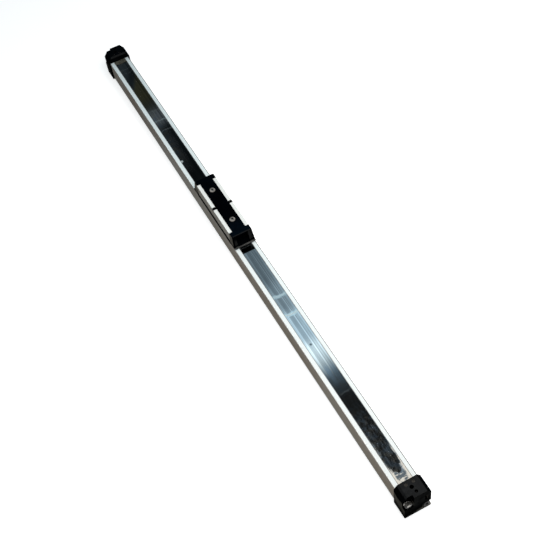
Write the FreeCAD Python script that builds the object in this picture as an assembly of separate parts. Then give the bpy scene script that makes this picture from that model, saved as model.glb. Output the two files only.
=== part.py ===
"""Rodless pneumatic cylinder with a sealing band and a sliding carriage.

Millimetres. X runs along the barrel, Z is up, and the origin is on the floor under the middle of the
barrel. The carriage is drawn where it stands when the cylinder is stored.
"""
import FreeCAD, Part
import os

# Travel of the carriage
stroke = 700.0
stored_place = -41.0
stroke_end_gap = 1.0
sliding_gap = 0.3

# Barrel, an extruded aluminium tube with a slot along its top
barrel_width = 30.0
barrel_height = 30.0
barrel_edge_radius = 1.0
bore_diameter = 18.0
bore_lift = 0.8
slot_width = 5.0
channel_from_side = 3.5
channel_from_level = 5.8

# Sealing bands
outer_band_width = 18.4
outer_band_thickness = 0.4
band_side_gap = 0.2
band_seat_depth = 0.5
band_length_in_cap = 6.6
band_end_gap = 0.2
inner_band_width = 8.0
inner_band_thickness = 0.3
inner_seat_drop = 0.7

# End caps
cap_overhang = 2.1
cap_rise = 10.0
cap_length = 22.6
cap_chamfer_width = 5.8
cap_chamfer_height = 8.0
cap_edge_radius = 0.9
cap_mouth_bevel = 2.0
spigot_length = 6.0
spigot_gap = 0.15
notch_depth = 3.8
notch_margin = 2.1
notch_ledge = 1.8
core_out_width = 3.6
core_out_height = 11.6
core_out_depth = 5.0
core_out_from_side = 6.5
core_out_rise = 9.0

# Ports and threaded holes in the caps
air_port_diameter = 5.0
air_port_depth = 7.0
air_port_from_end = 12.2
air_port_across = -0.6
air_passage_diameter = 2.5
bore_passage_diameter = 6.0
needle_diameter = 4.0
needle_length = 9.0
needle_sink = 4.0
needle_from_end = 5.5
needle_across = 1.0
foot_hole_diameter = 5.0
foot_hole_depth = 7.0
foot_hole_spacing = 10.0

# Fasteners
thread_gap = 0.05
tie_screw_diameter = 5.0
tie_screw_length = 32.0
tie_head_diameter = 8.5
tie_head_height = 5.0
tie_head_sink = 0.2
tie_socket_across_flats = 4.0
tie_socket_depth = 2.5
tie_hole_gap = 0.25
set_screw_diameter = 4.0
set_screw_sink = 0.4
set_screw_spacing = 9.4
set_screw_from_mouth = 5.4
set_socket_across_flats = 2.0
set_socket_depth = 2.0
cover_screw_diameter = 4.0
cover_screw_length = 10.0
cover_head_diameter = 8.0
cover_head_crown = 5.0
cover_head_height = 2.4
cover_head_sink = 1.0
cover_head_gap = 0.6
cover_screw_spacing = 61.0
cover_socket_across_flats = 2.5
cover_socket_depth = 1.4

# Carriage
carriage_body_length = 99.4
carriage_side_inset = 0.5
rail_rise = 20.0
rail_width = 5.1
carriage_edge_radius = 0.6
slide_width = 5.6
slide_thickness = 1.4
slide_overhang = 1.0
cover_rise = 1.2
cover_thickness = 3.2
cover_side_gap = 0.1
cover_edge_bevel = 0.8
cover_tab_length = 3.0
cover_tab_depth = 1.6
hood_length = 13.8
hood_lean = 3.9
hood_overhang = 0.5
hood_taper = 1.2
hood_wall = 1.5
hood_pocket_depth = 7.0
hood_step_depth = 2.0
hood_step_width = 4.0
wiper_height = 2.6
wiper_lip = 1.6
wiper_set_back = 3.2
band_tunnel_width = 20.0
band_tunnel_height = 7.0
piston_length = 108.0
piston_head_length = 14.0
piston_waist_diameter = 13.0
piston_gap = 0.3

# Widths and levels that follow the barrel
bore_axis_height = barrel_height / 2 + bore_lift
screw_channel_across = barrel_width / 2 - channel_from_side
screw_channel_rise = barrel_height / 2 - channel_from_level
cap_width = barrel_width + 2 * cap_overhang
cap_height = barrel_height + cap_rise
carriage_body_width = barrel_width - 2 * carriage_side_inset
carriage_rail_top = barrel_height + rail_rise
cover_width = carriage_body_width - 2 * (rail_width + cover_side_gap)
cover_top = carriage_rail_top + cover_rise
hood_foot_width = barrel_width + 2 * hood_overhang
hood_top_width = hood_foot_width - 2 * hood_taper

# Places worked out from the sizes above
carriage_length = carriage_body_length + 2 * hood_length
carriage_half = carriage_length / 2
barrel_length = stroke + carriage_length + 2 * stroke_end_gap
barrel_half = barrel_length / 2
total_half = barrel_half + cap_length
bore_radius = bore_diameter / 2
band_seat_height = barrel_height - band_seat_depth
inner_seat_height = bore_axis_height + bore_radius - inner_seat_drop
slide_foot = barrel_height + sliding_gap
body_foot = slide_foot + slide_thickness
notch_reach = tie_head_diameter / 2 + notch_margin
full_turn = 360.0

os.makedirs("parts", exist_ok=True)
nodes = {}


def block(x_range, y_range, z_range):
    """A box between two corners."""
    size = [high - low for low, high in (x_range, y_range, z_range)]
    corner = FreeCAD.Vector(x_range[0], y_range[0], z_range[0])
    return Part.makeBox(*size, corner)


def rod(diameter, start, direction, length):
    """A round bar from a start point along a direction."""
    return Part.makeCylinder(diameter / 2, length, FreeCAD.Vector(*start), FreeCAD.Vector(*direction))


def bar(outline, x_start, x_end):
    """A bar along X whose section is a closed outline of (y, z) corners."""
    corners = [FreeCAD.Vector(x_start, y, z) for y, z in outline]
    face = Part.Face(Part.makePolygon(corners + corners[:1]))
    return face.extrude(FreeCAD.Vector(x_end - x_start, 0, 0))


def symmetric(half_outline):
    """A whole outline from its right half, listed from the foot upwards."""
    return half_outline + [(-y, z) for y, z in reversed(half_outline)]


def hexagon(across_flats, start, direction, depth):
    """A hexagonal bar from a start point along a direction, for a socket."""
    sides = 6
    up = FreeCAD.Vector(0, 0, 1)
    spoke = FreeCAD.Vector(across_flats / 3 ** 0.5, 0, 0)
    turned = FreeCAD.Rotation(up, FreeCAD.Vector(*direction))
    corners = []
    for step in range(sides):
        corner = FreeCAD.Rotation(up, full_turn / sides * step).multVec(spoke)
        corners.append(turned.multVec(corner) + FreeCAD.Vector(*start))
    face = Part.Face(Part.makePolygon(corners + corners[:1]))
    return face.extrude(FreeCAD.Vector(*direction) * depth)


def upright_slot(width, height, start, depth):
    """A bar along X whose section is an upright slot with round ends."""
    radius = width / 2
    straight = height / 2 - radius
    middle = FreeCAD.Vector(*start)
    places = ((radius, -straight), (radius, straight), (-radius, straight), (-radius, -straight))
    corners = [middle + FreeCAD.Vector(0, y, z) for y, z in places]
    top = middle + FreeCAD.Vector(0, 0, height / 2)
    foot = middle - FreeCAD.Vector(0, 0, height / 2)
    curves = [Part.LineSegment(corners[0], corners[1]), Part.Arc(corners[1], top, corners[2]),
              Part.LineSegment(corners[2], corners[3]), Part.Arc(corners[3], foot, corners[0])]
    outline = Part.Wire([curve.toShape() for curve in curves])
    return Part.Face(outline).extrude(FreeCAD.Vector(depth, 0, 0))


def edges_that(shape, test):
    """The edges of a shape whose middle point and direction pass a test."""
    chosen = []
    for edge in shape.Edges:
        start, end = edge.Vertexes[0].Point, edge.Vertexes[-1].Point
        if test(edge.CenterOfMass, end - start):
            chosen.append(edge)
    return chosen


def along_x(direction):
    """Whether a direction runs mainly along the barrel."""
    return abs(direction.x) > abs(direction.y) + abs(direction.z)


def mirrored(shape):
    """The same piece for the other end of the cylinder."""
    return shape.mirror(FreeCAD.Vector(0, 0, 0), FreeCAD.Vector(1, 0, 0))


def carried(shape):
    """A piece of the carriage, drawn about the carriage's own middle, at its stored place."""
    return shape.translated(FreeCAD.Vector(stored_place, 0, 0))


# Barrel: a square tube with bore, slot, band seats and a screw channel in each corner
tube = block((-barrel_half, barrel_half), (-barrel_width / 2, barrel_width / 2), (0, barrel_height))
tube = tube.makeFillet(barrel_edge_radius, edges_that(tube, lambda middle, way: along_x(way)))
bore_start = (-barrel_half, 0, bore_axis_height)
hollow = [rod(bore_diameter, bore_start, (1, 0, 0), barrel_length)]
slot_half = slot_width / 2
whole_length = (-barrel_half, barrel_half)
hollow.append(block(whole_length, (-slot_half, slot_half), (bore_axis_height, barrel_height)))
seat_half = outer_band_width / 2 + band_side_gap
hollow.append(block(whole_length, (-seat_half, seat_half), (band_seat_height, barrel_height)))
inner_half = inner_band_width / 2 + band_side_gap
hollow.append(block(whole_length, (-inner_half, inner_half), (bore_axis_height, inner_seat_height)))
for side in (-1, 1):
    for level in (-1, 1):
        place = (-barrel_half, side * screw_channel_across, bore_axis_height + level * screw_channel_rise)
        hollow.append(rod(tie_screw_diameter, place, (1, 0, 0), barrel_length))
nodes["barrel"] = tube.cut(hollow)

# Bands: steel strips that close the slot from outside and from inside
band_half = barrel_half + band_length_in_cap
nodes["outer_band"] = block((-band_half, band_half), (-outer_band_width / 2, outer_band_width / 2),
                            (band_seat_height, band_seat_height + outer_band_thickness))
nodes["inner_band"] = block(whole_length, (-inner_band_width / 2, inner_band_width / 2),
                            (inner_seat_height - inner_band_thickness, inner_seat_height))

# End cap: a cast block with chamfered shoulders, and a notch for a screw's head in two corners of its end
cap_half = cap_width / 2
shoulder = cap_height - cap_chamfer_height
crown_half = cap_half - cap_chamfer_width
cap_outline = [(cap_half, 0), (cap_half, shoulder), (crown_half, cap_height)]
cap = bar(symmetric(cap_outline), barrel_half, total_half)


def is_mouth_edge(middle, way):
    """The top edge of the face that meets the barrel."""
    at_mouth = middle.x < barrel_half + cap_edge_radius
    return at_mouth and middle.z > cap_height - cap_edge_radius


cap = cap.makeChamfer(cap_mouth_bevel, edges_that(cap, is_mouth_edge))


def rounds_over(middle, way):
    """Long edges above the foot, and the end face's edges above the foot."""
    above_foot = middle.z > cap_edge_radius
    at_end = middle.x > total_half - cap_edge_radius
    return above_foot and (along_x(way) or at_end)


cap = cap.makeFillet(cap_edge_radius, edges_that(cap, rounds_over))
spigot_start = (barrel_half - spigot_length, 0, bore_axis_height)
spigot = rod(bore_diameter - 2 * spigot_gap, spigot_start, (1, 0, 0), spigot_length + cap_length / 2)
spigot_flat = inner_seat_height - inner_band_thickness - sliding_gap
spigot_trim = block((barrel_half - spigot_length, barrel_half), (-bore_radius, bore_radius),
                    (spigot_flat, cap_height))
cap = cap.fuse(spigot.cut(spigot_trim))

tie_axes = []
cuts = []
notch_floor = total_half - notch_depth
tie_face = total_half - tie_head_sink
tie_seat = tie_face - tie_head_height
for turn in (1, -1):
    across = -turn * screw_channel_across
    height = bore_axis_height + turn * screw_channel_rise
    tie_axes.append((across, height))
    inner_wall = across + turn * notch_reach
    notch_sill = height - turn * notch_reach
    outer_wall = -turn * cap_width
    open_level = cap_height if turn > 0 else notch_ledge
    lip_level = min(open_level, shoulder)
    notch_sides = sorted((inner_wall, outer_wall))
    cuts.append(block((notch_floor, total_half), notch_sides, sorted((notch_sill, open_level))))
    cuts.append(block((tie_seat, total_half), notch_sides, sorted((notch_sill, lip_level))))
    shank_hole = tie_screw_diameter + 2 * tie_hole_gap
    cuts.append(rod(shank_hole, (barrel_half, across, height), (1, 0, 0), cap_length))
    pocket_across = turn * (cap_half - core_out_from_side)
    pocket_height = bore_axis_height + turn * core_out_rise
    pocket_start = (total_half - core_out_depth, pocket_across, pocket_height)
    cuts.append(upright_slot(core_out_width, core_out_height, pocket_start, core_out_depth))

band_room_half = outer_band_width / 2 + band_side_gap
band_room_end = barrel_half + band_length_in_cap + band_end_gap
cuts.append(block((barrel_half, band_room_end), (-band_room_half, band_room_half),
                  (band_seat_height, barrel_height)))
set_screw_x = barrel_half + set_screw_from_mouth
set_screw_foot = band_seat_height + outer_band_thickness
set_screw_places = [(set_screw_x, side * set_screw_spacing / 2) for side in (-1, 1)]
for x, y in set_screw_places:
    cuts.append(rod(set_screw_diameter, (x, y, set_screw_foot), (0, 0, 1), cap_height))

port_x = total_half - air_port_from_end
port_floor = cap_height - air_port_depth
cuts.append(rod(air_port_diameter, (port_x, air_port_across, port_floor), (0, 0, 1), cap_height))
cuts.append(rod(air_passage_diameter, (port_x, air_port_across, bore_axis_height), (0, 0, 1), cap_height))
passage_length = port_x + air_passage_diameter / 2 - spigot_start[0]
cuts.append(rod(bore_passage_diameter, spigot_start, (1, 0, 0), passage_length))
needle_x = total_half - needle_from_end
needle_foot = cap_height - needle_sink - needle_length
needle_start = (needle_x, needle_across, needle_foot)
cuts.append(rod(needle_diameter + 2 * thread_gap, needle_start, (0, 0, 1), cap_height))
foot_hole_x = barrel_half + cap_length / 2
for side in (-1, 1):
    mouth = (foot_hole_x, side * foot_hole_spacing / 2, 0)
    cuts.append(rod(foot_hole_diameter, mouth, (0, 0, 1), foot_hole_depth))
cap = cap.cut(cuts)
nodes["end_cap_near"] = cap
nodes["end_cap_far"] = mirrored(cap)

# Tie screws: two socket-head screws at each end, through the cap into the barrel's channels
for name, (across, height) in zip(("upper", "lower"), tie_axes):
    head = rod(tie_head_diameter, (tie_seat, across, height), (1, 0, 0), tie_head_height)
    shank_start = (tie_seat - tie_screw_length, across, height)
    shank = rod(tie_screw_diameter - 2 * thread_gap, shank_start, (1, 0, 0), tie_screw_length)
    socket = hexagon(tie_socket_across_flats, (tie_face, across, height), (-1, 0, 0), tie_socket_depth)
    screw = head.fuse(shank).removeSplitter().cut(socket)
    nodes["tie_screw_near_" + name] = screw
    nodes["tie_screw_far_" + name] = mirrored(screw)

# Set screws: two grub screws in each cap press on the end of the outer band
set_screw_top = cap_height - set_screw_sink
set_screw_length = set_screw_top - set_screw_foot
for name, (x, y) in zip(("left", "right"), set_screw_places):
    screw = rod(set_screw_diameter - 2 * thread_gap, (x, y, set_screw_foot), (0, 0, 1), set_screw_length)
    socket = hexagon(set_socket_across_flats, (x, y, set_screw_top), (0, 0, -1), set_socket_depth)
    screw = screw.cut(socket)
    nodes["band_screw_near_" + name] = screw
    nodes["band_screw_far_" + name] = mirrored(screw)

# Cushion needles: screws that throttle the air at the end of the stroke
needle = rod(needle_diameter, needle_start, (0, 0, 1), needle_length)
nodes["cushion_needle_near"] = needle
nodes["cushion_needle_far"] = mirrored(needle)

# Carriage body: an extruded bridge with a rail along each side and a tunnel for the lifted band
body_half = carriage_body_length / 2
body_side = carriage_body_width / 2
trough_half = cover_width / 2 + cover_side_gap
trough_floor = cover_top - cover_thickness
tunnel_half = band_tunnel_width / 2
tunnel_roof = body_foot + band_tunnel_height
body_outline = [(tunnel_half, tunnel_roof), (tunnel_half, body_foot), (body_side, body_foot),
                (body_side, carriage_rail_top), (trough_half, carriage_rail_top),
                (trough_half, trough_floor)]
body = bar(symmetric(body_outline), -body_half, body_half)


def is_rail_edge(middle, way):
    """The long edges of the rails' tops."""
    return along_x(way) and middle.z > carriage_rail_top - carriage_edge_radius


body = body.makeFillet(carriage_edge_radius, edges_that(body, is_rail_edge))
tab_room_half = cover_tab_length / 2 + cover_side_gap
tab_floor = carriage_rail_top - cover_tab_depth
tab_room = (-tab_room_half, tab_room_half)
body_cuts = [block(tab_room, (-body_side, body_side), (tab_floor, carriage_rail_top))]
cover_screw_foot = cover_top - cover_head_sink - cover_screw_length
cover_screw_places = [side * cover_screw_spacing / 2 for side in (-1, 1)]
for x in cover_screw_places:
    body_cuts.append(rod(cover_screw_diameter, (x, 0, cover_screw_foot), (0, 0, 1), cover_screw_length))
nodes["carriage_body"] = carried(body.cut(body_cuts))

# Slides: plastic strips under the carriage body that run on the barrel's top
for name, side in (("left", -1), ("right", 1)):
    edge = body_side + slide_overhang
    across = sorted((side * edge, side * (edge - slide_width)))
    strip = block((-body_half, body_half), across, (slide_foot, body_foot))
    nodes["slide_strip_" + name] = carried(strip)

# Carriage cover: one moulding, a strip between the rails with a hood at each end and a tab across each rail
strip = block((-body_half, body_half), (-cover_width / 2, cover_width / 2), (trough_floor, cover_top))
tab_half = cover_tab_length / 2
tab = block((-tab_half, tab_half), (-body_side, body_side), (tab_floor, carriage_rail_top))
cover = strip.fuse(tab)
hood_foot = slide_foot + wiper_height
hood_toe = carriage_half - wiper_lip
hood_brow = hood_toe - hood_lean
pocket_wall = hood_brow - hood_pocket_depth
pocket_side = hood_top_width / 2 - hood_wall
pocket_half = pocket_side - hood_step_width
pocket_levels = (hood_foot + hood_wall, cover_top - hood_wall)


def is_hood_corner(middle, way):
    """The leaning edges at the two outer corners of a hood."""
    on_front = abs(middle.x) > hood_brow
    between_levels = hood_foot + cover_edge_bevel < middle.z < cover_top - cover_edge_bevel
    return on_front and between_levels


def is_hood_brow(middle, way):
    """The edges of a hood's top, apart from the one that meets the strip."""
    return abs(middle.x) > body_half + cover_edge_bevel and middle.z > cover_top - cover_edge_bevel


def step_wall(level):
    """How far out the wall of a hood's shallow step stands at a level, parallel to the leaning front."""
    lean = hood_lean * (level - hood_foot) / (cover_top - hood_foot)
    return hood_toe - lean - hood_step_depth


for end in (-1, 1):
    levels = []
    hood_levels = ((hood_foot, hood_toe, hood_foot_width), (cover_top, hood_brow, hood_top_width))
    for height, reach, width in hood_levels:
        corners = [(body_half, -width / 2), (reach, -width / 2), (reach, width / 2), (body_half, width / 2)]
        ring = [FreeCAD.Vector(end * x, y, height) for x, y in corners]
        levels.append(Part.makePolygon(ring + ring[:1]))
    hood = Part.makeLoft(levels, True, True)
    hood = hood.makeChamfer(cover_edge_bevel, edges_that(hood, is_hood_corner))
    hood = hood.makeChamfer(cover_edge_bevel, edges_that(hood, is_hood_brow))
    pocket_x = sorted((end * pocket_wall, end * carriage_length))
    pocket = block(pocket_x, (-pocket_half, pocket_half), pocket_levels)
    foot_level, roof_level = pocket_levels
    corners = [(step_wall(foot_level), foot_level), (carriage_length, foot_level),
               (carriage_length, roof_level), (step_wall(roof_level), roof_level)]
    ring = [FreeCAD.Vector(end * x, -pocket_side, z) for x, z in corners]
    step = Part.Face(Part.makePolygon(ring + ring[:1])).extrude(FreeCAD.Vector(0, 2 * pocket_side, 0))
    hood = hood.cut([pocket, step])
    cover = cover.fuse(hood)
cover = cover.removeSplitter()
cover_cuts = []
for x in cover_screw_places:
    seat = (x, 0, cover_top - cover_head_sink)
    cover_cuts.append(rod(cover_head_diameter + 2 * cover_head_gap, seat, (0, 0, 1), cover_thickness))
    shank_hole = cover_screw_diameter + 2 * cover_side_gap
    cover_cuts.append(rod(shank_hole, (x, 0, trough_floor), (0, 0, 1), cover_thickness))
nodes["carriage_cover"] = carried(cover.cut(cover_cuts))

# Wipers: plates under the hoods, each with a lip that stands out over the foot that sweeps the band
for name, end in (("near", 1), ("far", -1)):
    lip_reach = sorted((end * body_half, end * carriage_half))
    lip = block(lip_reach, (-hood_foot_width / 2, hood_foot_width / 2), (body_foot, hood_foot))
    foot_reach = sorted((end * body_half, end * (carriage_half - wiper_set_back)))
    foot = block(foot_reach, (-body_side, body_side), (slide_foot, body_foot))
    nodes["wiper_" + name] = carried(lip.fuse(foot).removeSplitter())

# Cover screws: button-head screws through the cover into the carriage body
cover_seat = cover_top - cover_head_sink
shank_diameter = cover_screw_diameter - 2 * thread_gap
for name, x in zip(("far", "near"), cover_screw_places):
    head = Part.makeCone(cover_head_diameter / 2, cover_head_crown / 2, cover_head_height,
                         FreeCAD.Vector(x, 0, cover_seat))
    shank = rod(shank_diameter, (x, 0, cover_screw_foot), (0, 0, 1), cover_screw_length)
    top = (x, 0, cover_seat + cover_head_height)
    socket = hexagon(cover_socket_across_flats, top, (0, 0, -1), cover_socket_depth)
    nodes["cover_screw_" + name] = carried(head.fuse(shank).removeSplitter().cut(socket))

# Piston: a double-headed piston in the bore, flattened on top to pass under the inner band
piston_radius = bore_radius - piston_gap
piston_half = piston_length / 2
waist_radius = piston_waist_diameter / 2
waist_half = piston_half - piston_head_length
half_profile = [(waist_half, waist_radius), (waist_half, piston_radius), (piston_half, piston_radius),
                (piston_half, 0)]
profile = [(-x, radius) for x, radius in reversed(half_profile)] + half_profile
corners = [FreeCAD.Vector(x, 0, bore_axis_height + radius) for x, radius in profile]
face = Part.Face(Part.makePolygon(corners + corners[:1]))
piston = face.revolve(FreeCAD.Vector(0, 0, bore_axis_height), FreeCAD.Vector(1, 0, 0), full_turn)
piston_flat = inner_seat_height - inner_band_thickness - sliding_gap
flat_cut = block((-piston_half, piston_half), (-bore_radius, bore_radius), (piston_flat, barrel_height))
nodes["piston"] = carried(piston.cut(flat_cut))

for name, shape in nodes.items():
    shape.exportStep("parts/" + name + ".step")
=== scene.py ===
"""Looks of a rodless pneumatic cylinder: a slotted aluminium barrel closed by a steel band, a black cap at
each end, and a low carriage that slides along the top. Metres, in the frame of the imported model.
"""
import math

import bpy
from mathutils import Matrix, Vector


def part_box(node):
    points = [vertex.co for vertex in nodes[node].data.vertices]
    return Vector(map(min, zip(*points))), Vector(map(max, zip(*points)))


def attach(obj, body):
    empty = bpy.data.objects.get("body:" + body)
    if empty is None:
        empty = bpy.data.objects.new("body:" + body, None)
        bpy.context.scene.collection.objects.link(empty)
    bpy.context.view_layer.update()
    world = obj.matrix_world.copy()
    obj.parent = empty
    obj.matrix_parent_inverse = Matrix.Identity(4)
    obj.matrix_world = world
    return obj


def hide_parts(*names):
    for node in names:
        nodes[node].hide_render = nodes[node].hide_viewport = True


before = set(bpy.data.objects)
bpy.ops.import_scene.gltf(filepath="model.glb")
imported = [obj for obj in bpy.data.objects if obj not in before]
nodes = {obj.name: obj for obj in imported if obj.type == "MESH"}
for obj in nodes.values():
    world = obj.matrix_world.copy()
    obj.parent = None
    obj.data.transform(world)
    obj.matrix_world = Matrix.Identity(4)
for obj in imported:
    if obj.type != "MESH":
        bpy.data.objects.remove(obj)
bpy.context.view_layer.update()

# The barrel is one extruded aluminium tube, clear anodised to a pale matt silver. The die leaves faint lines
# along it. Its top is painted bluer towards the far end, as a painted reflection. Its sides carry a
# grey-brown film that is partly workshop dirt and partly painted shade, darker towards the far end.
mm = 0.001


def span(start, end, base=0):
    """The limits of a mask, in millimetres from a base: where it is 0 and where it is 1."""
    return base + start * mm, base + end * mm


barrel_low, barrel_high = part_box("barrel")
# Tops are bluer at the far end as a painted reflection. Side films are dirt and painted shade, darker at the
# far end. Each pair runs from far to near.
barrel_lit_tops = (0.84, 0.945, 0.965, 1), (0.83, 0.86, 0.855, 1)
barrel_shaded_films = (0.33, 0.242, 0.174, 1), (0.58, 0.46, 0.352, 1)
barrel_film_tilt = 0.97
speck_colour = (0.2, 0.185, 0.165, 1)
# Near-black for the painted shade along the barrel's back edge and the carriage body's foot, and for marks
# beside the cover's tabs.
dark_line_colour = (0.008, 0.0078, 0.0074, 1)
far_to_near = span(-400, 400)
back_edge = span(14.0, 14.6)
back_edge_run = span(0, 400)


def join(tree, value, socket):
    """Links another node's output to a socket, or sets the socket to a plain value."""
    if isinstance(value, bpy.types.NodeSocket):
        tree.links.new(value, socket)
    else:
        socket.default_value = value


def add_node(tree, kind, inputs=None, **settings):
    """Adds a node to a tree. Inputs go by identifier or name, as values or as other nodes' outputs."""
    made = tree.nodes.new(kind)
    for name, value in settings.items():
        setattr(made, name, value)
    sockets = {socket.name: socket for socket in made.inputs}
    sockets.update({socket.identifier: socket for socket in made.inputs})
    for name, value in (inputs or {}).items():
        join(tree, value, sockets[name])
    return made


def put(tree, kind, inputs=None, output=0, **settings):
    """Adds a node to a tree and gives one of its outputs."""
    return add_node(tree, kind, inputs, **settings).outputs[output]


def reckon(tree, operation, *values):
    """One step of arithmetic on values and outputs."""
    inputs = dict(zip(("Value", "Value_001", "Value_002"), values))
    return put(tree, "ShaderNodeMath", inputs, operation=operation)


def chain(tree, operation, values):
    """Several values joined one after another by the same step."""
    total, *others = values
    for other in others:
        total = reckon(tree, operation, total, other)
    return total


def plus(tree, *values):
    """The sum of values."""
    return chain(tree, "ADD", values)


def times(tree, *values):
    """The product of values."""
    return chain(tree, "MULTIPLY", values)


def largest(tree, *values):
    """The largest of several masks."""
    return chain(tree, "MAXIMUM", values)


def eased(tree, value, start, end):
    """A mask that goes smoothly from 0 at start to 1 at end."""
    inputs = {"Value": value, "From Min": start, "From Max": end}
    return put(tree, "ShaderNodeMapRange", inputs, interpolation_type="SMOOTHSTEP")


def between(tree, mask, low, high):
    """A value that is low where the mask is 0 and high where it is 1."""
    return put(tree, "ShaderNodeMapRange", {"Value": mask, "To Min": low, "To Max": high})


def over(tree, mask, below, above, share=1.0):
    """The colour below, covered by a share of the colour above where the mask is 1."""
    mask = times(tree, mask, share) if share < 1 else mask
    inputs = {"Factor_Float": mask, "A_Color": below, "B_Color": above}
    return put(tree, "ShaderNodeMix", inputs, output=2, data_type="RGBA")


def patches(tree, place, per_metre, detail=3.0, stretch=(1, 1, 1)):
    """Soft cloudy noise, so many patches to the metre, drawn out along an axis by a small stretch."""
    drawn = put(tree, "ShaderNodeVectorMath", {"Vector": place, "Vector_001": stretch}, operation="MULTIPLY")
    return put(tree, "ShaderNodeTexNoise", {"Vector": drawn, "Scale": per_metre, "Detail": detail})


def cloudy(tree, place, per_metre, cut, **look):
    """A mask of such patches: 0 where the noise is under the first cut, 1 where it is over the second."""
    return eased(tree, patches(tree, place, per_metre, **look), *cut)


def object_place(tree):
    """A point's place in the object's own frame."""
    return put(tree, "ShaderNodeTexCoord", output="Object")


def axes_of(tree, vector, axes="XYZ"):
    """The named parts of a vector."""
    parts = add_node(tree, "ShaderNodeSeparateXYZ", {"Vector": vector}).outputs
    return [parts[axis] for axis in axes]


def facing_of(tree, axes="XYZ"):
    """The named parts of the way that the surface faces."""
    return axes_of(tree, put(tree, "ShaderNodeNewGeometry", output="Normal"), axes)


def nearness_of(tree, place):
    """0 at the barrel's far end and 1 at its near end."""
    along, = axes_of(tree, place, "X")
    return eased(tree, along, *far_to_near)


def new_effect(name, *inputs):
    """A shared effect: a shader node group that takes named values and gives a mask."""
    group = bpy.data.node_groups.new(name, "ShaderNodeTree")
    for label in inputs:
        group.interface.new_socket(label, in_out="INPUT", socket_type="NodeSocketFloat")
    group.interface.new_socket("Mask", in_out="OUTPUT", socket_type="NodeSocketFloat")
    return group, group.nodes.new("NodeGroupInput").outputs, group.nodes.new("NodeGroupOutput").inputs


def use(tree, group, **inputs):
    """Places a shared effect in a material and gives its mask."""
    named = {name.replace("_", " "): value for name, value in inputs.items()}
    return put(tree, "ShaderNodeGroup", named, output="Mask", node_tree=group)


def make_drawn_lines():
    """Fine lines that run along the barrel, as left by a die or by rolls."""
    group, given, made = new_effect("drawn_lines", "Lines", "Run")
    ways = put(group, "ShaderNodeCombineXYZ", {"X": given["Run"], "Y": given["Lines"], "Z": given["Lines"]})
    drawn = put(group, "ShaderNodeVectorMath", {"Vector": object_place(group), "Vector_001": ways},
                operation="MULTIPLY")
    inputs = {"Vector": drawn, "Scale": 1.0, "Detail": 4.0, "Roughness": 0.65}
    lines = put(group, "ShaderNodeTexNoise", inputs)
    join(group, eased(group, lines, 0.3, 0.7), made["Mask"])
    return group


drawn_lines = make_drawn_lines()


def new_finish(name):
    """A new material, with its tree and its shader."""
    material = bpy.data.materials.new(name)
    material.use_nodes = True
    return material, material.node_tree, material.node_tree.nodes["Principled BSDF"]


def feed(tree, shader, **inputs):
    """Links or sets the shader's sockets."""
    for name, value in inputs.items():
        join(tree, value, shader.inputs[name.replace("_", " ")])


def relief(tree, height, depth):
    """A normal that stands out by depth where the height is 1."""
    return put(tree, "ShaderNodeBump", {"Height": height, "Strength": 1.0, "Distance": depth})


def dress(material, *names):
    """Gives CAD nodes a finish."""
    for name in names:
        nodes[name].data.materials.clear()
        nodes[name].data.materials.append(material)


def make_anodised(name, lit_tops, shaded_films, film_tilt, dark_lines):
    """Clear anodised aluminium, bright on top and filmed on its sides with dirt and painted shade, and dark
    where dark_lines says.

    Lit tops and shaded films are pairs of colours, for the far and the near end, so their change along the
    barrel is painted light. The film starts on what faces up by less than film_tilt.
    """
    material, tree, shader = new_finish(name)
    place = object_place(tree)
    nearness = nearness_of(tree, place)
    lines = use(tree, drawn_lines, Lines=1400.0, Run=4.0)
    upward, = facing_of(tree, "Z")
    clouds = cloudy(tree, place, 25.0, (0.3, 0.75), detail=5.0, stretch=(0.3, 1, 1))
    film = times(tree, eased(tree, upward, film_tilt, film_tilt - 0.4), between(tree, clouds, 0.8, 1.0))
    specks = cloudy(tree, place, 420.0, (0.73, 0.8), detail=2.0)
    worn_top = [0.86 * channel for channel in lit_tops[0][:3]] + [1.0]
    # The film on the sides is dirt and painted shade. The change of tops and films from far to near is
    # painted light.
    colour = over(tree, film, over(tree, nearness, *lit_tops), over(tree, nearness, *shaded_films))
    colour = over(tree, lines, colour, worn_top, share=0.22)
    colour = over(tree, specks, colour, speck_colour, share=0.35)
    # Near-black lines: painted shade on the barrel's back edge and the body's foot, and marks beside the
    # cover's tabs.
    colour = over(tree, dark_lines(tree), colour, dark_line_colour)
    feed(tree, shader, Base_Color=colour, Metallic=between(tree, film, 0.2, 0.0),
         Roughness=between(tree, film, 0.42, 0.7), Specular_IOR_Level=0.01,
         Normal=relief(tree, lines, 0.02 * mm))
    return material


def barrel_edge_shade(tree):
    """Painted shade: a dark line along the rounded edge at the back of the barrel's top, wider towards the
    near end.
    """
    along, across = axes_of(tree, object_place(tree), "XY")
    sideways, upward = facing_of(tree, "YZ")
    spread = between(tree, eased(tree, along, *back_edge_run), 0.0, 0.3 * mm)
    at_back = eased(tree, plus(tree, across, spread), *back_edge)
    turned = largest(tree, eased(tree, sideways, 0.04, 0.16), at_back)
    return times(tree, turned, eased(tree, upward, 0.05, 0.2))


dress(make_anodised("anodised_barrel", barrel_lit_tops, barrel_shaded_films, barrel_film_tilt, barrel_edge_shade), "barrel")

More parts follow.
